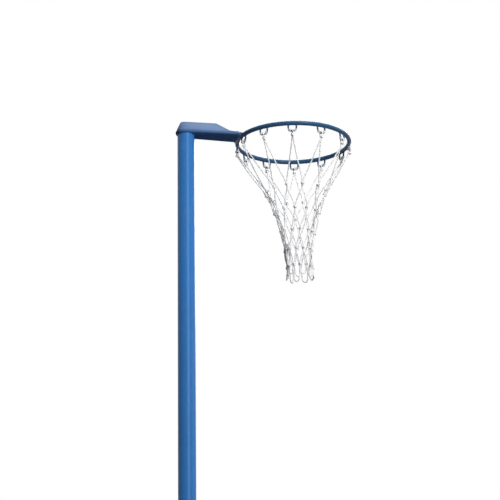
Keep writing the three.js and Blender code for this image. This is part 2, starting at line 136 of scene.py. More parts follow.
def applyModifiers(piece):
    pick(piece)
    for modifier in list(piece.modifiers):
        bpy.ops.object.modifier_apply(modifier=modifier.name)


def smoothByAngle(piece, degrees):
    pick(piece)
    bpy.ops.object.shade_smooth_by_angle(angle=math.radians(degrees))


# the CAD node's shape with its loose corners merged and its flat faces whole
def cleanCopy(node, name):
    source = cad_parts[node]
    piece = bpy.data.objects.new(name, source.data.copy())
    scene.collection.objects.link(piece)
    piece.data.materials.clear()
    pick(piece)
    bpy.ops.object.mode_set(mode="EDIT")
    bpy.ops.mesh.select_all(action="SELECT")
    bpy.ops.mesh.remove_doubles(threshold=cleaning["mergeWithin"])
    bpy.ops.mesh.dissolve_limited(angle_limit=cleaning["flatWithin"])
    bpy.ops.object.mode_set(mode="OBJECT")
    return piece


def addBevel(piece, width, degrees=40):
    bevel = piece.modifiers.new("edges", "BEVEL")
    bevel.width = width
    bevel.segments = 2
    bevel.limit_method = "ANGLE"
    bevel.angle_limit = math.radians(degrees)
    bevel.harden_normals = False
    applyModifiers(piece)


def joinPieces(pieces):
    pick(pieces[0])
    for piece in pieces:
        piece.select_set(True)
    bpy.ops.object.join()
    return bpy.context.object


# gives a finished piece its name, body and finish, and hides the CAD node that it stands for
def settle(piece, name, body, material, node=None):
    applyPlace(piece)
    piece.name = name
    piece.data.name = name
    piece.data.materials.clear()
    piece.data.materials.append(material)
    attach(piece, body)
    if node:
        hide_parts(node)
    deselectAll()


# a CAD node's shape with its edges broken, in place of the node
def edgedPiece(node, name, bevel, body, material):
    piece = cleanCopy(node, name)
    addBevel(piece, bevel)
    smoothByAngle(piece, shading["plate"])
    settle(piece, name, body, material, node)


# materials

def newMaterial(name):
    material = bpy.data.materials.new(name)
    material.use_nodes = True
    nodes = material.node_tree.nodes
    shader = nodes["Principled BSDF"]
    return material, nodes, material.node_tree.links, shader


def noiseNode(nodes, links, source, scale, detail, roughness=0.5):
    noise = nodes.new("ShaderNodeTexNoise")
    noise.inputs["Scale"].default_value = scale
    noise.inputs["Detail"].default_value = detail
    noise.inputs["Roughness"].default_value = roughness
    links.new(source, noise.inputs["Vector"])
    return noise.outputs["Fac"]


# maps the first pair of values to the second
def spread(nodes, links, source, given, wanted):
    spreadNode = nodes.new("ShaderNodeMapRange")
    for socket, value in zip(("From Min", "From Max", "To Min", "To Max"), (*given, *wanted)):
        spreadNode.inputs[socket].default_value = value
    links.new(source, spreadNode.inputs["Value"])
    return spreadNode.outputs["Result"]


def mixColours(nodes, links, factor, first, second):
    mix = nodes.new("ShaderNodeMix")
    mix.data_type = "RGBA"
    links.new(factor, mix.inputs["Factor"])
    for socket, colour in (("A", first), ("B", second)):
        target = next(s for s in mix.inputs if s.name == socket and s.type == "RGBA")
        if isinstance(colour, tuple):
            target.default_value = (*colour, 1)
        else:
            links.new(colour, target)
    return next(s for s in mix.outputs if s.type == "RGBA")


def addBump(nodes, links, shader, height, distance, strength=1.0, under=None):
    bump = nodes.new("ShaderNodeBump")
    bump.inputs["Distance"].default_value = distance
    bump.inputs["Strength"].default_value = strength
    links.new(height, bump.inputs["Height"])
    if under:
        links.new(under, bump.inputs["Normal"])
    links.new(bump.outputs["Normal"], shader.inputs["Normal"])
    return bump.outputs["Normal"]


# in all materials, scales are in cells to the metre and depths in metres
powderCoat = {
    "patchScale": 3.2,           # slow change of colour
    "patchDetail": 2,
    "patchRange": (0.3, 0.7),
    "deeperShare": 0.9,
    "dustScale": 26.0,
    "dustDetail": 6,
    "dustRoughness": 0.65,
    "dustRange": (0.52, 0.8),
    "dustShare": 0.07,
    "wornRange": (0.54, 0.62),   # of the edges' pointiness
    "wornShare": 0.45,
    "glossRange": (0.3, 0.75),
    "roughness": (0.28, 0.38),
    "peelScale": 620.0,          # orange peel
    "peelDetail": 2,
    "peelDepth": 0.00006,
    "waveScale": 55.0,
    "waveDetail": 1,
    "waveDepth": 0.00018,
}
paints = {
    "post": {
        "colour": (0.026, 0.158, 0.440),
        "dusty": (0.30, 0.40, 0.52),
        "worn": (0.10, 0.26, 0.52),
        "specular": 0.12,
    },
    "arm": {
        "colour": (0.145, 0.230, 0.405),
        "dusty": (0.36, 0.43, 0.54),
        "worn": (0.21, 0.31, 0.50),
        "specular": 0.06,
    },
    # a darker copy of the arm's paint with no gloss: painted shade of the arm's underside
    "arm bottom shade": {
        "colour": (0.09, 0.18, 0.38),
        "dusty": (0.30, 0.38, 0.50),
        "worn": (0.16, 0.27, 0.48),
        "specular": 0.0,
    },
    # darker than the post's paint: painted shade of the ring bar and the eyes, seen from below
    "ring": {
        "colour": (0.024, 0.082, 0.180),
        "dusty": (0.10, 0.16, 0.24),
        "worn": (0.05, 0.12, 0.24),
        "specular": 0.12,
    },
}


def makePowderCoat(kind):
    coat, paint = powderCoat, paints[kind]
    material, nodes, links, shader = newMaterial(f"{kind} powder coat")
    place = nodes.new("ShaderNodeTexCoord").outputs["Object"]
    patches = noiseNode(nodes, links, place, coat["patchScale"], coat["patchDetail"])
    patchFactor = spread(nodes, links, patches, coat["patchRange"], (0, 1))
    deeper = tuple(c * coat["deeperShare"] for c in paint["colour"])
    patched = mixColours(nodes, links, patchFactor, deeper, paint["colour"])
    dust = noiseNode(nodes, links, place, coat["dustScale"], coat["dustDetail"], coat["dustRoughness"])
    dustFactor = spread(nodes, links, dust, coat["dustRange"], (0, coat["dustShare"]))
    dusted = mixColours(nodes, links, dustFactor, patched, paint["dusty"])
    edges = nodes.new("ShaderNodeNewGeometry").outputs["Pointiness"]
    wornFactor = spread(nodes, links, edges, coat["wornRange"], (0, coat["wornShare"]))
    finished = mixColours(nodes, links, wornFactor, dusted, paint["worn"])
    links.new(finished, shader.inputs["Base Color"])
    gloss = spread(nodes, links, dust, coat["glossRange"], coat["roughness"])
    links.new(gloss, shader.inputs["Roughness"])
    peel = noiseNode(nodes, links, place, coat["peelScale"], coat["peelDetail"])
    wave = noiseNode(nodes, links, place, coat["waveScale"], coat["waveDetail"])
    waved = addBump(nodes, links, shader, wave, coat["waveDepth"])
    addBump(nodes, links, shader, peel, coat["peelDepth"], under=waved)
    shader.inputs["Specular IOR Level"].default_value = paint["specular"]
    return material


cordFinish = {
    "yarnScale": (420.0, 26.0),  # along the cord, and in cells to one turn round it
    "yarnDetail": 3,
    "yarnRange": (0.3, 0.7),
    "yarnShare": 0.2,
    "yarnDepth": 0.0002,
    "fuzzScale": 900.0,
    "fuzzDetail": 4,
    "fuzzRoughness": 0.7,
    "fuzzDepth": 0.0001,
    "fuzzStrength": 0.6,
    "soilScale": 18.0,
    "soilDetail": 4,
    "soilRange": (0.42, 0.72),
    "soilShare": 0.35,
    "roughness": 0.85,
    "specular": 0.25,
    "scatter": 0.8,
    "scatterDepth": 0.005,
    "sheen": 0.6,
    "sheenRoughness": 0.5,
}
cordColours = {
    "white net cord": {
        "clean": (0.93, 0.93, 0.94),
        "soiled": (0.80, 0.80, 0.82),
    },
    # a grey cord, darker than the net's white cord
    "grey lashing cord": {
        "clean": (0.70, 0.71, 0.74),
        "soiled": (0.50, 0.51, 0.55),
    },
}


def makeCordFinish(name):
    cord = cordFinish
    clean, soiled = cordColours[name]["clean"], cordColours[name]["soiled"]
    material, nodes, links, shader = newMaterial(name)
    coordinates = nodes.new("ShaderNodeTexCoord")
    place = coordinates.outputs["Object"]
    mapping = nodes.new("ShaderNodeMapping")
    mapping.inputs["Scale"].default_value = (*cord["yarnScale"], 1)
    links.new(coordinates.outputs["UV"], mapping.inputs["Vector"])
    yarn = noiseNode(nodes, links, mapping.outputs["Vector"], 1, cord["yarnDetail"])
    fuzz = noiseNode(nodes, links, place, cord["fuzzScale"], cord["fuzzDetail"], cord["fuzzRoughness"])
    soil = noiseNode(nodes, links, place, cord["soilScale"], cord["soilDetail"])
    soilFactor = spread(nodes, links, soil, cord["soilRange"], (0, cord["soilShare"]))
    dirty = mixColours(nodes, links, soilFactor, clean, soiled)
    yarnFactor = spread(nodes, links, yarn, cord["yarnRange"], (cord["yarnShare"], 0))
    finished = mixColours(nodes, links, yarnFactor, dirty, soiled)
    links.new(finished, shader.inputs["Base Color"])
    shader.inputs["Roughness"].default_value = cord["roughness"]
    shader.inputs["Specular IOR Level"].default_value = cord["specular"]
    shader.inputs["Subsurface Weight"].default_value = cord["scatter"]
    shader.inputs["Subsurface Radius"].default_value = (1, 1, 1)
    shader.inputs["Subsurface Scale"].default_value = cord["scatterDepth"]
    shader.inputs["Sheen Weight"].default_value = cord["sheen"]
    shader.inputs["Sheen Roughness"].default_value = cord["sheenRoughness"]
    yarned = addBump(nodes, links, shader, yarn, cord["yarnDepth"])
    addBump(nodes, links, shader, fuzz, cord["fuzzDepth"], cord["fuzzStrength"], yarned)
    return material


galvanising = {
    "spangleScale": 95.0,
    "dull": (0.27, 0.29, 0.31),
    "bright": (0.50, 0.52, 0.54),
    "stain": (0.62, 0.63, 0.62),
    "stainScale": 14.0,
    "stainDetail": 6,
    "stainRoughness": 0.65,
    "stainRange": (0.52, 0.75),
    "stainShare": 0.7,
    "metal": (0.9, 0.15),        # clean and stained
    "roughness": (0.36, 0.6),
    "grainScale": 240.0,
    "grainDetail": 4,
    "grainDepth": 0.00012,
}


def makeGalvanised():
    zinc = galvanising
    material, nodes, links, shader = newMaterial("galvanised steel")
    place = nodes.new("ShaderNodeTexCoord").outputs["Object"]
    spangle = nodes.new("ShaderNodeTexVoronoi")
    spangle.inputs["Scale"].default_value = zinc["spangleScale"]
    spangle.inputs["Randomness"].default_value = 1
    links.new(place, spangle.inputs["Vector"])
    tone = nodes.new("ShaderNodeSeparateColor")
    links.new(spangle.outputs["Color"], tone.inputs["Color"])
    spangled = mixColours(nodes, links, tone.outputs["Red"], zinc["dull"], zinc["bright"])
    stains = noiseNode(nodes, links, place, zinc["stainScale"], zinc["stainDetail"], zinc["stainRoughness"])
    stainFactor = spread(nodes, links, stains, zinc["stainRange"], (0, zinc["stainShare"]))
    stained = mixColours(nodes, links, stainFactor, spangled, zinc["stain"])
    links.new(stained, shader.inputs["Base Color"])
    metal = spread(nodes, links, stainFactor, (0, 1), zinc["metal"])
    links.new(metal, shader.inputs["Metallic"])
    gloss = spread(nodes, links, tone.outputs["Green"], (0, 1), zinc["roughness"])
    links.new(gloss, shader.inputs["Roughness"])
    grain = noiseNode(nodes, links, place, zinc["grainScale"], zinc["grainDetail"])
    addBump(nodes, links, shader, grain, zinc["grainDepth"])
    return material


zincPlating = {
    "dull": (0.28, 0.29, 0.30),
    "bright": (0.46, 0.46, 0.44),
    "cloudScale": 160.0,
    "cloudDetail": 4,
    "cloudRange": (0.3, 0.7),
    "metal": 0.95,
    "roughness": (0.34, 0.56),
    "grainScale": 900.0,
    "grainDetail": 2,
    "grainDepth": 0.00004,
}


def makeZincPlate():
    zinc = zincPlating
    material, nodes, links, shader = newMaterial("zinc plate")
    place = nodes.new("ShaderNodeTexCoord").outputs["Object"]
    clouds = noiseNode(nodes, links, place, zinc["cloudScale"], zinc["cloudDetail"])
    clouded = mixColours(nodes, links, clouds, zinc["dull"], zinc["bright"])
    links.new(clouded, shader.inputs["Base Color"])
    shader.inputs["Metallic"].default_value = zinc["metal"]
    gloss = spread(nodes, links, clouds, zinc["cloudRange"], zinc["roughness"])
    links.new(gloss, shader.inputs["Roughness"])
    grain = noiseNode(nodes, links, place, zinc["grainScale"], zinc["grainDetail"])
    addBump(nodes, links, shader, grain, zinc["grainDepth"])
    return material


plasticSurface = {
    "scuffScale": 60.0,
    "scuffDetail": 6,
    "scuffRoughness": 0.7,
    "scuffRange": (0.5, 0.75),
    "scuffShare": 0.5,
    "glossRange": (0.3, 0.7),
    "grainScale": 700.0,
    "grainDetail": 3,
    "grainDepth": 0.00008,
}
plastics = {
    "black polyethylene": {
        "colour": (0.012, 0.012, 0.013),
        "scuffed": (0.06, 0.06, 0.06),
        "roughness": (0.42, 0.62),
    },
    "white nylon": {
        "colour": (0.66, 0.66, 0.62),
        "scuffed": (0.42, 0.41, 0.37),
        "roughness": (0.47, 0.67),
    },
}


def makePlastic(name):
    surface, plastic = plasticSurface, plastics[name]
    material, nodes, links, shader = newMaterial(name)
    place = nodes.new("ShaderNodeTexCoord").outputs["Object"]
    scuffs = noiseNode(
        nodes, links, place, surface["scuffScale"], surface["scuffDetail"], surface["scuffRoughness"])
    scuffFactor = spread(nodes, links, scuffs, surface["scuffRange"], (0, surface["scuffShare"]))
    scuffed = mixColours(nodes, links, scuffFactor, plastic["colour"], plastic["scuffed"])
    links.new(scuffed, shader.inputs["Base Color"])
    gloss = spread(nodes, links, scuffs, surface["glossRange"], plastic["roughness"])
    links.new(gloss, shader.inputs["Roughness"])
    grain = noiseNode(nodes, links, place, surface["grainScale"], surface["grainDetail"])
    addBump(nodes, links, shader, grain, surface["grainDepth"])
    return material


postBlue = makePowderCoat("post")
armBlue = makePowderCoat("arm")
armBottomShadeBlue = makePowderCoat("arm bottom shade")
ringShadeBlue = makePowderCoat("ring")
whiteCord = makeCordFinish("white net cord")
greyCord = makeCordFinish("grey lashing cord")
galvanised = makeGalvanised()
zincPlate = makeZincPlate()
blackPlastic = makePlastic("black polyethylene")
whiteNylon = makePlastic("white nylon")
print("materials made:", len(bpy.data.materials))


# post tube

postTube = {
    "sides": 96,
    "wall": 0.0032,
    "rimBevel": 0.0007,
    "rimSharpFrom": 60,          # degrees
    "holeRadius": 0.0055,
    "holeSides": 32,
}


def makePostTube():
    middle = (postLow + postHigh) / 2
    deselectAll()
    bpy.ops.mesh.primitive_cylinder_add(
        vertices=postTube["sides"], radius=postRadius, depth=postHigh.z - postLow.z,
        end_fill_type="NOTHING", location=middle)
    tube = bpy.context.object
    applyPlace(tube)
    wall = tube.modifiers.new("wall", "SOLIDIFY")
    wall.thickness = postTube["wall"]
    wall.offset = -1
    applyModifiers(tube)
    for bolt in ("spigot_bolt_1", "spigot_bolt_2"):
        low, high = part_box(bolt)
        deselectAll()
        bpy.ops.mesh.primitive_cylinder_add(
            vertices=postTube["holeSides"], radius=postTube["holeRadius"], depth=postRadius,
            location=(0, postRadius, (low.z + high.z) / 2), rotation=(math.pi / 2, 0, 0))
        drill = bpy.context.object
        hole = tube.modifiers.new("hole", "BOOLEAN")
        hole.object = drill
        hole.operation = "DIFFERENCE"
        applyModifiers(tube)
        bpy.data.objects.remove(drill)
    addBevel(tube, postTube["rimBevel"], postTube["rimSharpFrom"])
    smoothByAngle(tube, shading["plate"])
    settle(tube, "postTube", "post", postBlue, "post_tube")


makePostTube()
print("post tube made")


# arm

armPlates = {
    # node: name, width of the broken edges, finish
    "arm_cover": ("armCover", 0.0006, armBlue),
    "arm_side_near": ("armSideNear", 0.0004, armBlue),
    "arm_side_far": ("armSideFar", 0.0004, armBlue),
    # the bottom plate and the spigot take the darker coat, painted shade of the underside
    "arm_bottom_plate": ("armBottomPlate", 0.0006, armBottomShadeBlue),
    "arm_spigot": ("armSpigot", 0.0006, armBottomShadeBlue),
}


def makeArmPlates():
    for node, (name, bevel, finish) in armPlates.items():
        edgedPiece(node, name, bevel, "post", finish)


makeArmPlates()
print("arm plates made")


# tubes swept along lines, for weld beads and cords

sweptTube = {
    "startAcross": (0.31, 0.17, 0.93),
    "bluntShare": 0.5,           # how far the ends stand out, in the tube's radius
}


# the line through points, walked in equal steps
def evenPoints(points, step):
    points = np.asarray(points, float)
    lengths = np.concatenate([[0], np.cumsum(np.linalg.norm(np.diff(points, axis=0), axis=1))])
    count = max(2, int(round(lengths[-1] / step)))
    places = np.linspace(0, lengths[-1], count + 1)
    return np.stack([np.interp(places, lengths, points[:, k]) for k in range(3)], axis=1), places


def directionsAlong(points):
    ahead = np.gradient(points, axis=0)
    ahead /= np.linalg.norm(ahead, axis=1)[:, None]
    return ahead


# sideways directions carried along a line without turning
def frameAlong(points):
    ahead = directionsAlong(points)
    side = np.cross(ahead[0], sweptTube["startAcross"])
    sides = []
    for direction in ahead:
        side = side - direction * np.dot(side, direction)
        side = side / np.linalg.norm(side)
        sides.append(side)
    sides = np.array(sides)
    return sides, np.cross(ahead, sides)


# turns holds, for each face corner, the pair that its UV map takes
def meshFrom(name, corners, faces, turns):
    mesh = bpy.data.meshes.new(name)
    mesh.from_pydata([tuple(c) for c in corners], [], faces)
    layer = mesh.uv_layers.new(name="alongCord")
    layer.data.foreach_set("uv", np.asarray(turns, np.float32).ravel())
    mesh.update()
    piece = bpy.data.objects.new(name, mesh)
    scene.collection.objects.link(piece)
    return piece


# tube round a line, with blunt ends
def sweep(name, points, places, radiusAt, sides, twistLength=None):
    across, over = frameAlong(points)
    count = len(points)
    angles = np.arange(sides) / sides * fullTurn
    corners, faces, turns = [], [], []
    for i in range(count):
        twist = 0 if twistLength is None else places[i] / twistLength * fullTurn
        for k in range(sides):
            reach = radiusAt(places[i], angles[k])
            angle = angles[k] + twist
            corners.append(points[i] + reach * (math.cos(angle) * across[i] + math.sin(angle) * over[i]))
    for i in range(count - 1):
        low, high = places[i], places[i + 1]
        for k in range(sides):
            beside = (k + 1) % sides
            faces.append((i * sides + k, i * sides + beside, (i + 1) * sides + beside, (i + 1) * sides + k))
            turns += [(low, k / sides), (low, (k + 1) / sides), (high, (k + 1) / sides), (high, k / sides)]
    for end, inner, turned in ((0, 1, True), (count - 1, count - 2, False)):
        outward = points[end] - points[inner]
        outward = outward / np.linalg.norm(outward)
        tip = len(corners)
        corners.append(points[end] + outward * sweptTube["bluntShare"] * radiusAt(places[end], 0))
        for k in range(sides):
            first, second = end * sides + k, end * sides + (k + 1) % sides
            faces.append((second, first, tip) if turned else (first, second, tip))
            turns += [(places[end], k / sides), (places[end], (k + 1) / sides), (places[end], k / sides)]
    piece = meshFrom(name, corners, faces, turns)
    smoothByAngle(piece, shading["bead"])
    return piece


# weld beads of the arm

weld = {
    "rippleLength": 0.0022,
    "rippleShare": 0.16,
    "lumpShare": 0.08,
    "lumpTurn": 900,             # radians to the metre
    "lumpsRound": 2,
    "sides": 8,
    "step": 0.0008,
}
# sizes of the CAD's arm, which the beads follow
armShape = {
    "halfWidth": 0.037,          # at the post's axis
    "noseHalfWidth": 0.045,      # at the ring
    "plate": 0.003,
    "rimHeight": 0.010,
    "boxHeight": 0.036,
    "rearReach": 0.035,
    "rearCorner": 0.033,
    "rearLean": 0.010,
    "flatReach": 0.069,
    "slopeLength": 0.047,
    "slopeFoot": 0.013,
    "noseHeight": 0.0085,
    "noseLap": 0.006,
    "foldRadius": 0.004,
}
armWelds = {
    "seamRadius": 0.0011,
    "seamInset": 0.0004,
    "foldSteps": 12,
    "cornerSteps": 24,
    "noseRadius": 0.0028,
    "noseLift": 0.0008,
    "rootRadius": 0.0022,
    "rootGap": 0.0002,
    "rootDrop": 0.0004,
    "edgeGap": 0.003,            # from a bead's end to the plate's corner
    "arcSteps": 40,
}


def weldBead(name, route, radius):
    points, places = evenPoints(route, weld["step"])

    def radiusAt(along, angle):
        ripple = 1 + weld["rippleShare"] * math.sin(along / weld["rippleLength"] * fullTurn)
        lumps = math.sin(along * weld["lumpTurn"] + weld["lumpsRound"] * angle)
        return radius * ripple * (1 + weld["lumpShare"] * lumps)

    return sweep(name, points, places, radiusAt, weld["sides"])


# line through corners, each turned with a radius
def roundedLine(corners, radius, steps):
    corners = [Vector(c) for c in corners]
    line = [corners[0]]
    for before, corner, after in zip(corners, corners[1:], corners[2:]):
        back, ahead = (before - corner).normalized(), (after - corner).normalized()
        reach = radius / math.tan(back.angle(ahead) / 2)
        start, end = corner + back * reach, corner + ahead * reach
        for i in range(steps + 1):
            share = i / steps
            line.append(start * (1 - share) ** 2 + corner * 2 * share * (1 - share) + end * share ** 2)
    return line + [corners[-1]]


# side view of the cover's underside, from the rear foot to the ring, as (x, height above the arm's underside)
def coverSeam():
    flatEnd = postRadius + armShape["flatReach"]
    ringSide = ringCentre.x - ringOuter
    profile = [Vector(p) for p in (
        (-armShape["rearReach"], armShape["rimHeight"]),
        (armShape["rearLean"] - armShape["rearReach"], armShape["boxHeight"]),
        (flatEnd, armShape["boxHeight"]),
        (flatEnd + armShape["slopeLength"], armShape["slopeFoot"]),
        (ringSide, armShape["noseHeight"]))]
    sides = [Vector((b.y - a.y, a.x - b.x)).normalized() for a, b in zip(profile, profile[1:])]
    moved = []
    for corner, before, after in zip(profile, sides[:1] + sides, sides + sides[-1:]):
        mitre = (before + after).normalized()
        moved.append(corner + mitre * armShape["plate"] / mitre.dot(before))
    return roundedLine(moved, armShape["foldRadius"], armWelds["foldSteps"])


# outline of the arm from above, from the near side of the ring round the rear to the far side
def armPlan():
    ringSide = ringCentre.x - ringOuter
    flare = (armShape["noseHalfWidth"] - armShape["halfWidth"]) / (ringCentre.x - ringRadius)
    rear = -armShape["rearReach"]
    rearHalf, noseHalf = (armShape["halfWidth"] + flare * x for x in (rear, ringSide))
    corners = [(ringSide, -noseHalf), (rear, -rearHalf), (rear, rearHalf), (ringSide, noseHalf)]
    return roundedLine(corners, armShape["rearCorner"], armWelds["cornerSteps"])


# points along the ring, on the side of the arm
def ringArc(radius, height, halfWidth):
    reach = math.asin(halfWidth / radius)
    steps = armWelds["arcSteps"]
    angles = [math.pi - reach + 2 * reach * i / steps for i in range(steps + 1)]
    return [(ringCentre.x + radius * math.cos(a), radius * math.sin(a), height) for a in angles]


def makeArmWelds():
    outline = armPlan()
    farSide = sorted((p.x, p.y) for p in outline if p.y > 0)
    farX, farY = zip(*farSide)
    seam = coverSeam()
    beads = []
    for side in (-1, 1):
        line = []
        for x, height in seam:
            y = side * (np.interp(x, farX, farY) - armWelds["seamInset"])
            line.append((x, y, armUnderside + height))
        beads.append(weldBead("seam", line, armWelds["seamRadius"]))
    rimEnd = min(x for x, height in seam if x > postRadius and height <= armShape["rimHeight"])
    inset = 1 - armWelds["seamInset"] / armShape["halfWidth"]
    rimTop = armUnderside + armShape["rimHeight"]
    rim = [(x * inset, y * inset, rimTop) for x, y in outline if x < rimEnd]
    near, far = ((rimEnd, side * np.interp(rimEnd, farX, farY) * inset, rimTop) for side in (-1, 1))
    beads.append(weldBead("rim", [near, *rim, far], armWelds["seamRadius"]))
    halfWidth = armShape["noseHalfWidth"] - armWelds["edgeGap"]
    noseHeight = ringCentre.z + barRadius + armWelds["noseLift"]
    nose = ringArc(ringOuter - armShape["noseLap"], noseHeight, halfWidth)
    beads.append(weldBead("nose", nose, armWelds["noseRadius"]))
    root = ringArc(ringOuter + armWelds["rootGap"], armUnderside - armWelds["rootDrop"], halfWidth)
    beads.append(weldBead("root", root, armWelds["rootRadius"]))
    settle(joinPieces(beads), "armWelds", "post", armBlue)


makeArmWelds()
print("arm welds made")


# ring bar

ringBar = {
    "around": 320,
    "sides": 32,
    "buttAngle": math.radians(62),   # where the bar's two ends meet, on the side away from the camera
    "buttSink": 0.00012,
}
buttWeld = {
    "thickness": 0.0011,
    "uneven": 0.00012,
    "around": 48,
    "sides": 8,
    "seed": 1,
}


# ring of weld round a bar or a rod, with an uneven surface
def weldRing(place, turned, radius, bead, seed):
    deselectAll()
    bpy.ops.mesh.primitive_torus_add(
        location=place, rotation=turned, major_radius=radius, minor_radius=bead["thickness"],
        major_segments=bead["around"], minor_segments=bead["sides"])
    made = bpy.context.object
    bpy.ops.object.mode_set(mode="EDIT")
    bpy.ops.mesh.select_all(action="SELECT")
    bpy.ops.transform.vertex_random(offset=bead["uneven"], seed=seed)
    bpy.ops.object.mode_set(mode="OBJECT")
    smoothByAngle(made, shading["bead"])
    return made


def makeRingBar():
    deselectAll()
    bpy.ops.mesh.primitive_torus_add(
        location=ringCentre, major_radius=ringRadius, minor_radius=barRadius,
        major_segments=ringBar["around"], minor_segments=ringBar["sides"])
    bar = bpy.context.object
    applyPlace(bar)
    smoothByAngle(bar, shading["bead"])
    angle = ringBar["buttAngle"]
    place = (ringCentre.x + ringRadius * math.cos(angle), ringRadius * math.sin(angle), ringCentre.z)
    turned = (math.pi / 2, 0, angle)
    butt = weldRing(place, turned, barRadius - ringBar["buttSink"], buttWeld, buttWeld["seed"])
    settle(joinPieces([bar, butt]), "ringBar", "post", ringShadeBlue, "ring_bar")


makeRingBar()
print("ring bar made")


# net eyes

eyeCount = 12
netEye = {
    "rodRadius": 0.003,
    "width": 0.028,
    "drop": 0.029,
    "sink": 0.003,               # how far the legs run into the ring bar
    "sides": 16,
    "bendSteps": 28,
    "mergeWithin": 1e-6,
}
toeWeld = {
    "thickness": 0.0013,
    "uneven": 0.00018,
    "around": 24,
    "sides": 8,
    "seed": 2,
}


def eyeAngle(i):
    return math.pi + (i + 0.5) / eyeCount * fullTurn


# a stretch of the eye's U, as (sideways, height from the ring's centre)
def eyeLine(first, last, steps):
    bend = netEye["width"] / 2
    top = -barRadius + netEye["sink"]
    leg = netEye["drop"] - bend + top
    whole = 2 * leg + math.pi * bend
    line = []
    for i in range(steps + 1):
        along = (first + (last - first) * i / steps) * whole
        turn = min(max(along - leg, 0) / bend, math.pi)
        rise = max(leg - along, along - leg - math.pi * bend, 0)
        line.append((-bend * math.cos(turn), rise - netEye["drop"] + bend - bend * math.sin(turn)))
    return line


def onRing(angle, sideways, height, outwards=0.0):
    radius = ringRadius + outwards
    return np.array((
        ringCentre.x + radius * math.cos(angle) - sideways * math.sin(angle),
        radius * math.sin(angle) + sideways * math.cos(angle),
        ringCentre.z + height))


# one eye at the ring's +X side: a circle pulled down, spun through the bend and pulled up again
def makeEyeModel():
    halfWidth = netEye["width"] / 2
    reach = ringCentre.x + ringRadius
    legTop = ringCentre.z - barRadius + netEye["sink"]
    bendHeight = ringCentre.z - netEye["drop"] + halfWidth
    bendCentre = (reach, 0, bendHeight)
    downLeg = Vector((0, 0, bendHeight - legTop))
    deselectAll()
    bpy.ops.mesh.primitive_circle_add(
        vertices=netEye["sides"], radius=netEye["rodRadius"], fill_type="NGON",
        location=(reach, -halfWidth, legTop))
    rod = bpy.context.object
    bpy.ops.object.mode_set(mode="EDIT")
    bpy.ops.mesh.select_all(action="SELECT")
    bpy.ops.mesh.extrude_region_move(TRANSFORM_OT_translate={"value": downLeg})
    bpy.ops.mesh.spin(steps=netEye["bendSteps"], angle=-math.pi, center=bendCentre, axis=(1, 0, 0))
    bpy.ops.mesh.extrude_region_move(TRANSFORM_OT_translate={"value": -downLeg})
    bpy.ops.mesh.select_all(action="SELECT")
    bpy.ops.mesh.remove_doubles(threshold=netEye["mergeWithin"])
    bpy.ops.mesh.normals_make_consistent(inside=False)
    bpy.ops.object.mode_set(mode="OBJECT")
    smoothByAngle(rod, shading["rod"])
    parts = [rod]
    for seed, y in enumerate((-halfWidth, halfWidth), toeWeld["seed"]):
        toe = (reach, y, ringCentre.z - barRadius)
        parts.append(weldRing(toe, (0, 0, 0), netEye["rodRadius"], toeWeld, seed))
    model = joinPieces(parts)
    applyPlace(model)
    return model


def makeNetEyes():
    model = makeEyeModel()
    toRing = Matrix.Translation((ringCentre.x, 0, 0))
    for i in range(eyeCount):
        pick(model)
        bpy.ops.object.duplicate()
        eye = bpy.context.object
        eye.matrix_world = toRing @ Matrix.Rotation(eyeAngle(i), 4, "Z") @ toRing.inverted()
        label = f"{i + 1:02d}"
        # the eyes take the ring's darker coat, painted shade
        settle(eye, f"netEye{label}", "post", ringShadeBlue, f"net_eye_{label}")
    bpy.data.objects.remove(model)


makeNetEyes()
print("net eyes made")


# net

net = {
    "length": 0.505,
    "cordRadius": 0.0024,
    "drift": 0.015,              # how far the foot hangs towards +X
    "slack": 0.005,
    "strandSlackShare": 0.75,
    "crossingShare": 0.95,       # how far a cord lies from a crossing's middle, in the cord's radius
    "rowDepthShares": [0.37, 0.52, 0.66, 0.79, 0.905],
    "rowRadiusShares": [0.55, 0.387, 0.29, 0.237, 0.224],
    "unevenShare": 0.05,
    "unevenTurn": 1.7,
    "bunchShare": 0.28,
    "layLength": 0.014,          # one turn of the cord's strands
    "layShare": 0.11,            # how far a strand stands out
    "layMean": 0.25,
    "strands": 3,
    "sides": 9,
    "step": 0.0021,
    "smoothSteps": 14,
}
hitch = {
    "radius": 0.0074,
    "clearance": 0.0001,
    "steps": 12,
    "sideReach": 1.1,            # in the cord's radius
    "tuck": 0.002,               # how far both ends run into the knot
}
knot = {
    "radius": 0.004,
    "turns": 1.7,
    "steps": 24,
    "height": 3.2,               # in the cord's radius, and so are both reaches
    "outReach": 2.0,
    "sideReach": 1.5,
    "tilt": 0.35,
    "tiltByColumn": 1.3,
    "tiltByRow": 2.2,
}
footTurn = {
    "uneven": 0.014,
    "lean": 0.004,
    "leanTurn": 2.1,
    # share of the way to the next knot, share of the way down
    "outline": [
        (0.10, 0.35), (0.14, 0.72), (0.28, 0.94), (0.5, 1.0), (0.72, 0.94), (0.86, 0.72), (0.90, 0.35),
    ],
}
hitchDrop = (netEye["drop"] + hitch["radius"] - net["cordRadius"]
             - netEye["rodRadius"] - hitch["clearance"])
lastRow = len(net["rowDepthShares"])


# row 0 holds the knots under the eyes
def knotPlace(row, column):
    plainAngle = eyeAngle(column + (row % 2) / 2)
    if row == 0:
        depthShare = 0
        radius = ringRadius
        depth = hitchDrop + hitch["radius"] + knot["radius"]
    else:
        depthShare = net["rowDepthShares"][row - 1]
        uneven = net["unevenShare"] * math.sin((column + 1) * (row + 2) * net["unevenTurn"])
        radius = ringRadius * net["rowRadiusShares"][row - 1] * (1 + uneven)
        depth = net["length"] * depthShare
    angle = plainAngle - net["bunchShare"] * depthShare ** 2 * math.sin(plainAngle - math.pi)
    x = ringCentre.x + radius * math.cos(angle) + net["drift"] * depthShare
    return np.array((x, radius * math.sin(angle), ringCentre.z - depth))


def outwardsAt(place):
    outwards = np.array((place[0] - ringCentre.x, place[1], 0))
    return outwards / np.linalg.norm(outwards)


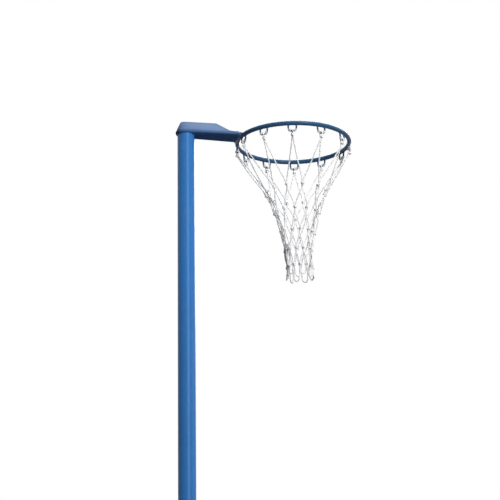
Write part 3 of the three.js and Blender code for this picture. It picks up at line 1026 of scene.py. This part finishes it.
# Catmull-Rom line through points
def smoothLine(points):
    points = np.asarray(points, float)
    padded = np.vstack([2 * points[0] - points[1], points, 2 * points[-1] - points[-2]])
    line = []
    for i in range(1, len(padded) - 2):
        before, here, after, beyond = padded[i - 1:i + 3]
        for t in np.arange(net["smoothSteps"]) / net["smoothSteps"]:
            line.append(0.5 * (2 * here + (after - before) * t
                               + (2 * before - 5 * here + 4 * after - beyond) * t ** 2
                               + (3 * here - before - 3 * after + beyond) * t ** 3))
    line.append(padded[-2])
    return np.array(line)


def laidCord(route):
    points, places = evenPoints(smoothLine(route), net["step"])

    def radiusAt(along, angle):
        strand = math.cos(net["strands"] * angle) - net["layMean"]
        return net["cordRadius"] * (1 + net["layShare"] * strand)

    return sweep("cord", points, places, radiusAt, net["sides"], net["layLength"])


# where a slack cord passes halfway
def bow(first, second, amount):
    middle = (first + second) / 2
    return middle + outwardsAt(middle) * amount


# one cord that runs down from eye to foot, a column's half step to one side and back at each row
def strandRoute(column, way):
    route = []
    place = knotPlace(0, column)
    for row in range(lastRow + 1):
        layer = way if row % 2 else -way
        route.append(place + outwardsAt(place) * layer * net["cordRadius"] * net["crossingShare"])
        if row < lastRow:
            left = column - 1 + (row % 2)
            goesLeft = (way < 0) == (row % 2 == 0)
            column = left if goesLeft else left + 1
            after = knotPlace(row + 1, column)
            uneven = math.sin((column + 2) * (row + 1) * net["unevenTurn"])
            slack = net["slack"] * net["strandSlackShare"] * uneven
            route.append(bow(place, after, slack if goesLeft else -slack))
            place = after
    return route


# the turn that hangs between two knots of the last row
def footLoop(column):
    first, second = knotPlace(lastRow, column), knotPlace(lastRow, column + 1)
    lift = footTurn["uneven"] * math.sin((column + 1) * net["unevenTurn"]) ** 2
    foot = ringCentre.z - net["length"] + lift
    halfway = (first + second) / 2
    bulge = halfway + outwardsAt(halfway) * net["slack"] - halfway
    side = (second - first) / np.linalg.norm(second - first)
    lean = footTurn["lean"] * math.sin(column * footTurn["leanTurn"])
    points = [first]
    for share, down in footTurn["outline"]:
        place = first + (second - first) * share + bulge * down + side * lean * down
        place[2] = first[2] + (foot - first[2]) * down
        points.append(place)
    points.append(second)
    return points


# nearly two turns of cord drawn tight round the crossing
def knotWrap(row, column):
    place = knotPlace(row, column)
    outwards = outwardsAt(place)
    sideways = np.array((-outwards[1], outwards[0], 0))
    r = net["cordRadius"]
    tilt = knot["tilt"] * math.sin(column * knot["tiltByColumn"] + row * knot["tiltByRow"])
    points = []
    for i in range(knot["steps"] + 1):
        share = i / knot["steps"]
        turn = share * knot["turns"] * fullTurn
        height = (share - 0.5) * knot["height"] * r + tilt * r * math.cos(turn)
        out = outwards * math.cos(turn) * knot["outReach"] * r
        across = sideways * math.sin(turn) * knot["sideReach"] * r
        points.append(place + out + across + np.array((0, 0, height)))
    return points


# from the knot up, in round the eye's rod, and back down to the knot
def hitchRoute(column):
    angle = eyeAngle(column)
    tucked = knotPlace(0, column) - np.array((0, 0, hitch["tuck"]))
    points = [tucked]
    for i in range(1, hitch["steps"]):
        turn = i / hitch["steps"] * fullTurn
        sideways = -hitch["sideReach"] * net["cordRadius"] * math.cos(turn / 2)
        inwards = -math.sin(turn) * math.sin(turn / 2) * hitch["radius"]
        height = -hitchDrop - math.cos(turn) * hitch["radius"]
        points.append(onRing(angle, sideways, height, inwards))
    points.append(tucked)
    return points


def makeNet():
    cords = []
    for column in range(eyeCount):
        for way in (-1, 1):
            cords.append(laidCord(strandRoute(column, way)))
        cords.append(laidCord(hitchRoute(column)))
        cords.append(laidCord(footLoop(column)))
        for row in range(lastRow + 1):
            cords.append(laidCord(knotWrap(row, column)))
    print("net cords:", len(cords))
    settle(joinPieces(cords), "netCords", "post", whiteCord, "net")


makeNet()
print("net made")


# lashing cord wound on the bend of each eye

lashing = {
    "cordRadius": 0.0012,
    "turns": 3.5,
    "stretches": [(0.27, 0.41), (0.59, 0.73)],   # shares of the eye's rod, to both sides of the net's hitch
    "tightShare": 0.9,           # how far the cord's middle lies off the rod, in the cord's radius
    "lumpShare": 0.1,
    "lumpTurn": 1400,            # radians to the metre
    "lumpsRound": 3,
    "windingSteps": 80,
    "sides": 7,
    "step": 0.0010,
}


def windingRoute(angle, first, last):
    steps = lashing["windingSteps"]
    centre = np.array([onRing(angle, s, h) for s, h in eyeLine(first, last, steps)])
    outwards = np.array((math.cos(angle), math.sin(angle), 0))
    reach = netEye["rodRadius"] + lashing["cordRadius"] * lashing["tightShare"]
    route = []
    for k, (place, direction) in enumerate(zip(centre, directionsAlong(centre))):
        turn = k / steps * lashing["turns"] * fullTurn + angle
        over = np.cross(direction, outwards)
        route.append(place + reach * (math.cos(turn) * outwards + math.sin(turn) * over))
    return route


def lashingRadius(along, angle):
    lumps = math.sin(along * lashing["lumpTurn"] + lashing["lumpsRound"] * angle)
    return lashing["cordRadius"] * (1 + lashing["lumpShare"] * lumps)


def makeLashings():
    cords = []
    for i in range(eyeCount):
        for first, last in lashing["stretches"]:
            points, places = evenPoints(windingRoute(eyeAngle(i), first, last), lashing["step"])
            cords.append(sweep("lash", points, places, lashingRadius, lashing["sides"]))
    settle(joinPieces(cords), "eyeLashings", "post", greyCord)


makeLashings()
print("lashings made")


# bolts, nuts and washers

fasteners = {
    # node: name, width of the broken edges
    "spigot_bolt": ("spigotBolt", 0.0007),
    "spigot_nut": ("spigotNut", 0.0006),
    "bolt_washer": ("boltWasher", 0.0003),
}


def makeFasteners():
    for number in (1, 2):
        for node, (name, bevel) in fasteners.items():
            edgedPiece(f"{node}_{number}", f"{name}{number}", bevel, "post", zincPlate)


makeFasteners()
print("fasteners made")


# ground socket, wear pad and plug

socketPieces = {
    # node: name, width of the broken edges, body, slot, finish
    "socket_collar": ("socketCollar", 0.0010, "root", "galvanised", galvanised),
    "socket_sleeve": ("socketSleeve", 0.0006, "root", "galvanised", galvanised),
    "socket_base_plate": ("socketBasePlate", 0.0010, "root", "galvanised", galvanised),
    "anchor_lug_1": ("anchorLug1", 0.0008, "root", "galvanised", galvanised),
    "anchor_lug_2": ("anchorLug2", 0.0008, "root", "galvanised", galvanised),
    "anchor_lug_3": ("anchorLug3", 0.0008, "root", "galvanised", galvanised),
    "anchor_lug_4": ("anchorLug4", 0.0008, "root", "galvanised", galvanised),
    "wear_pad": ("wearPad", 0.0008, "turntable", "white_nylon", whiteNylon),
    "foot_plug": ("footPlug", 0.0008, "post", "black_plastic", blackPlastic),
}


def makeSocket():
    for node, (name, bevel, body, slot, finish) in socketPieces.items():
        edgedPiece(node, name, bevel, body, finish)


makeSocket()
print("socket made")


# floor, world and lamps

studio = {
    "floorSize": 80.0,
    "floorGap": 0.0005,
    "floorShown": 0.86,
    "floorBounce": 0.06,         # what the floor gives back to the object
    "floorRoughness": 0.9,
    "floorGlow": 0.25,           # share of the floor's look that no shadow reaches
    "sweepStart": 3.0,           # from here out, the floor fades to the white backdrop
    "sweepEnd": 14.0,
    "worldFill": 0.12,
    "overheadStrength": 2.2,
    "overheadSpread": 30.0,      # degrees
    "overheadFrom": (0.12, 0.22, 1.0),
    "overheadLift": 2,           # above the object
    "aimReach": 0.1,             # the lamps point at a place beside the post's axis, below the ring
    "aimDrop": 0.4,
}
lamps = {
    # place is from the ring's centre, power in watts
    "key": {"place": (0.55, -4.2, 1.4), "width": 0.35, "height": 6.0, "power": 262},
    "back": {"place": (1.6, 4.0, 2.4), "width": 3.0, "height": 3.6, "power": 190},
    "right": {"place": (3.6, -0.6, 0.2), "width": 1.6, "height": 3.2, "power": 28},
}


# 1 for camera, glossy and transmission rays
def seenRay(nodes, links):
    path = nodes.new("ShaderNodeLightPath")
    total = path.outputs["Is Camera Ray"]
    for ray in ("Is Glossy Ray", "Is Transmission Ray"):
        add = nodes.new("ShaderNodeMath")
        add.operation = "MAXIMUM"
        links.new(total, add.inputs[0])
        links.new(path.outputs[ray], add.inputs[1])
        total = add.outputs["Value"]
    return total


def makeFloor():
    deselectAll()
    bpy.ops.mesh.primitive_plane_add(size=studio["floorSize"], location=(0, 0, cadLow.z - studio["floorGap"]))
    floor = bpy.context.object
    floor.name = "studioFloor"
    material, nodes, links, shader = newMaterial("pale floor")
    seen = seenRay(nodes, links)
    shade = mixColours(nodes, links, seen, (studio["floorBounce"],) * 3, (studio["floorShown"],) * 3)
    links.new(shade, shader.inputs["Base Color"])
    shader.inputs["Roughness"].default_value = studio["floorRoughness"]
    shader.inputs["Specular IOR Level"].default_value = 0
    reach = nodes.new("ShaderNodeVectorMath")
    reach.operation = "LENGTH"
    links.new(nodes.new("ShaderNodeTexCoord").outputs["Object"], reach.inputs[0])
    sweepSpan = (studio["sweepStart"], studio["sweepEnd"])
    fade = spread(nodes, links, reach.outputs["Value"], sweepSpan, (studio["floorGlow"], 1))
    glow = nodes.new("ShaderNodeMath")
    glow.operation = "MULTIPLY"
    links.new(seen, glow.inputs[0])
    links.new(fade, glow.inputs[1])
    backdrop = nodes.new("ShaderNodeEmission")
    mix = nodes.new("ShaderNodeMixShader")
    links.new(glow.outputs["Value"], mix.inputs["Fac"])
    links.new(shader.outputs["BSDF"], mix.inputs[1])
    links.new(backdrop.outputs["Emission"], mix.inputs[2])
    links.new(mix.outputs["Shader"], nodes["Material Output"].inputs["Surface"])
    floor.data.materials.append(material)


def makeWorld():
    world = bpy.data.worlds.new("studio")
    scene.world = world
    world.use_nodes = True
    nodes, links = world.node_tree.nodes, world.node_tree.links
    background = nodes["Background"]
    background.inputs["Color"].default_value = (1, 1, 1, 1)
    strength = spread(nodes, links, seenRay(nodes, links), (0, 1), (studio["worldFill"], 1))
    links.new(strength, background.inputs["Strength"])


def makeLamps():
    target = Vector((studio["aimReach"], 0, ringCentre.z - studio["aimDrop"]))
    for name, settings in lamps.items():
        place = ringCentre + Vector(settings["place"])
        bpy.ops.object.light_add(type="AREA", location=place)
        lamp = bpy.context.object
        lamp.name = name
        lamp.data.shape = "ELLIPSE"
        lamp.data.size = settings["width"]
        lamp.data.size_y = settings["height"]
        lamp.data.energy = settings["power"]
        lamp.rotation_euler = (target - place).to_track_quat("-Z", "Y").to_euler()
        lamp.visible_camera = False
    bpy.ops.object.light_add(type="SUN", location=(0, 0, cadHigh.z + studio["overheadLift"]))
    overhead = bpy.context.object
    overhead.name = "overhead"
    overhead.data.energy = studio["overheadStrength"]
    overhead.data.angle = math.radians(studio["overheadSpread"])
    overhead.rotation_euler = (-Vector(studio["overheadFrom"])).to_track_quat("-Z", "Y").to_euler()


makeFloor()
makeWorld()
makeLamps()
scene.view_settings.view_transform = "Standard"
print("studio made")
